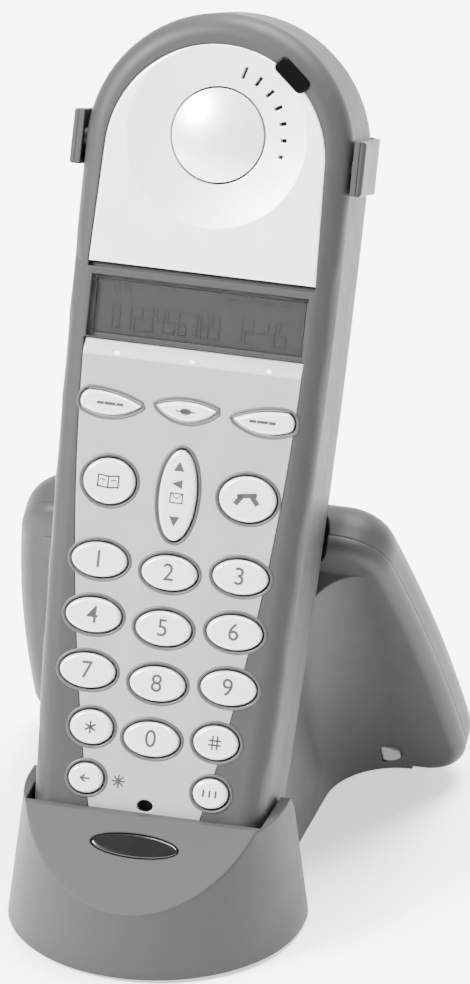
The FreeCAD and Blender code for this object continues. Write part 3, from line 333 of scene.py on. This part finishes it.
# The seven bars of a figure on a grid one wide and two tall, and the bars that each sign lights
SEGMENTS = {"a": ((0, 2), (1, 2)), "b": ((1, 2), (1, 1)), "c": ((1, 1), (1, 0)), "d": ((0, 0), (1, 0)),
            "e": ((0, 1), (0, 0)), "f": ((0, 2), (0, 1)), "g": ((0, 1), (1, 1))}
LIT = {"0": "abcdef", "1": "bc", "2": "abged", "3": "abgcd", "4": "fgbc", "5": "afgcd", "6": "afgedc",
       "7": "abc", "8": "abcdefg", "9": "abcdfg", "-": "g"}


def dress_display():
    """A row of plain seven-bar figures and small status marks, just in front of the display module."""
    corners = in_handset("display_module")
    front = min(p.y for p in corners) / MM
    low, high = min(p.z for p in corners) / MM, max(p.z for p in corners) / MM
    wide, tall, gap = 1.75, 2.15, 0.42
    outlines, x = [], -16.9
    for sign in "0123456789 12-45":
        for name in LIT.get(sign, ""):
            (x0, z0), (x1, z1) = SEGMENTS[name]
            outlines.append(bar(x + x0 * wide * 0.8, low + 1.1 + z0 * tall, x + x1 * wide * 0.8,
                                low + 1.1 + z1 * tall, 0.34))
        x += wide + gap
    for mark in range(4):
        at = 5.0 + 3.6 * mark
        outlines.append(bar(at, high - 1.1, at + 1.6, high - 1.1, 0.5))
    for level in range(4):
        at = -17.0 + level
        outlines.append(bar(at, high - 1.7, at, high - 1.4 + 0.2 * level, 0.5))
    mesh = flat_polygons("display_figures", outlines, 0.05)
    piece("display_figures", mesh, SEGMENT, "handset", on_handset(0, front - 0.02, 0))


def dress_panel():
    """Small marks on the key panel, and the paging mark on the base's slope."""
    ticks = [disc(x, 96.6, 0.55, 0.4, 20) for x in (-14.7, 0.0, 15.0)]
    piece("soft_key_ticks", flat_polygons("soft_key_ticks", ticks, PRINT_THICK), PALE_INK, "handset",
          on_handset(0.0, 0.02, 0.0))
    rays = [bar(0.5 * math.cos(t), 0.5 * math.sin(t), 1.15 * math.cos(t), 1.15 * math.sin(t), 0.3)
            for t in (2 * math.pi * n / 8 for n in range(8))] + [disc(0, 0, 0.42, 0.42, 20)]
    piece("bell_mark", flat_polygons("bell_mark", rays, PRINT_THICK), INK, "handset",
          on_handset(-5.6, -0.08, 16.2))
    low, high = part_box("page_key")
    key_middle = (Vector(low) + Vector(high)) / 2
    down_slope = Vector((0.0, -math.cos(SLOPE), -math.sin(SLOPE)))
    outward = Vector((0.0, -math.sin(SLOPE), math.cos(SLOPE)))
    spot = key_middle + down_slope * 4.9 * MM + outward * 0.72 * MM
    lift = Matrix.Translation(spot) @ Matrix.Rotation(-(math.pi / 2 - SLOPE), 4, "X")
    waves = [bar(-1.9, 0.3, -0.7, -0.1, 0.35), bar(-0.5, -0.1, 0.5, -0.1, 0.35),
             bar(0.7, -0.1, 1.9, 0.3, 0.35)]
    piece("page_mark", flat_polygons("page_mark", waves, PRINT_THICK), INK, "base", lift)


dress_keys()
dress_display()
dress_panel()


# ---------------------------------------------------------------- studio

def studio_material():
    made, tree, shader = node_tree("studio_floor")
    noise = tree.nodes.new("ShaderNodeTexNoise")
    noise.inputs["Scale"].default_value = 6.0
    ramp = tree.nodes.new("ShaderNodeValToRGB")
    ramp.color_ramp.elements[0].color = (0.9, 0.9, 0.9, 1.0)
    ramp.color_ramp.elements[1].color = (0.94, 0.94, 0.94, 1.0)
    tree.links.new(noise.outputs["Fac"], ramp.inputs["Fac"])
    tree.links.new(ramp.outputs["Color"], shader.inputs["Base Color"])
    shader.inputs["Roughness"].default_value = 0.7
    shader.inputs["Emission Color"].default_value = (1.0, 1.0, 1.0, 1.0)
    shader.inputs["Emission Strength"].default_value = 1.0
    return made


def sweep_floor():
    """A flat floor that curves up behind into a wall."""
    profile = [(-2.0, 0.0), (1.1, 0.0), (1.45, 0.05), (1.72, 0.22), (1.9, 0.5), (1.95, 0.9), (1.95, 3.2)]
    mesh = bpy.data.meshes.new("studio_sweep")
    verts = [(x, y, z) for y, z in profile for x in (-3.0, 3.0)]
    faces = [(2 * n, 2 * n + 1, 2 * n + 3, 2 * n + 2) for n in range(len(profile) - 1)]
    mesh.from_pydata(verts, [], faces)
    mesh.materials.append(studio_material())
    for face in mesh.polygons:
        face.use_smooth = True
    made = bpy.data.objects.new("studio_sweep", mesh)
    bpy.context.scene.collection.objects.link(made)
    return made


def lamp(name, at, aim, size, watts):
    light = bpy.data.lights.new(name, "AREA")
    light.shape, light.size, light.energy = "DISK", size, watts
    made = bpy.data.objects.new(name, light)
    made.location = at
    made.rotation_euler = (Vector(aim) - Vector(at)).to_track_quat("-Z", "Y").to_euler()
    bpy.context.scene.collection.objects.link(made)
    return made


def set_stage():
    aim = (0.0, 0.0, 0.08)
    sweep_floor()
    lamp("key_light", (-0.8, -0.7, 0.95), aim, 0.45, 90.0)
    lamp("fill_light", (0.9, -0.5, 0.5), aim, 0.8, 4.0)
    lamp("top_light", (0.1, 0.35, 1.1), aim, 0.7, 60.0)
    world = bpy.data.worlds.new("studio_world")
    bpy.context.scene.world = world
    world.use_nodes = True
    world.node_tree.nodes["Background"].inputs["Color"].default_value = (1.0, 1.0, 1.0, 1.0)
    world.node_tree.nodes["Background"].inputs["Strength"].default_value = 0.4


def set_camera():
    """The camera stands to the front right, above, and far off with a long lens."""
    away = 3.0
    aim = Vector((9.7, -3.2, 81.1)) * MM
    level = math.cos(CAMERA_RISE)
    back = Vector((math.sin(CAMERA_TURN) * level, -math.cos(CAMERA_TURN) * level, math.sin(CAMERA_RISE)))
    lens = bpy.data.cameras.new("photo_camera")
    lens.lens = 582.0
    lens.clip_start = 0.05
    made = bpy.data.objects.new("photo_camera", lens)
    made.location = aim + back * away
    made.rotation_euler = (-back).to_track_quat("-Z", "Y").to_euler()
    bpy.context.scene.collection.objects.link(made)
    bpy.context.scene.camera = made


set_stage()
set_camera()
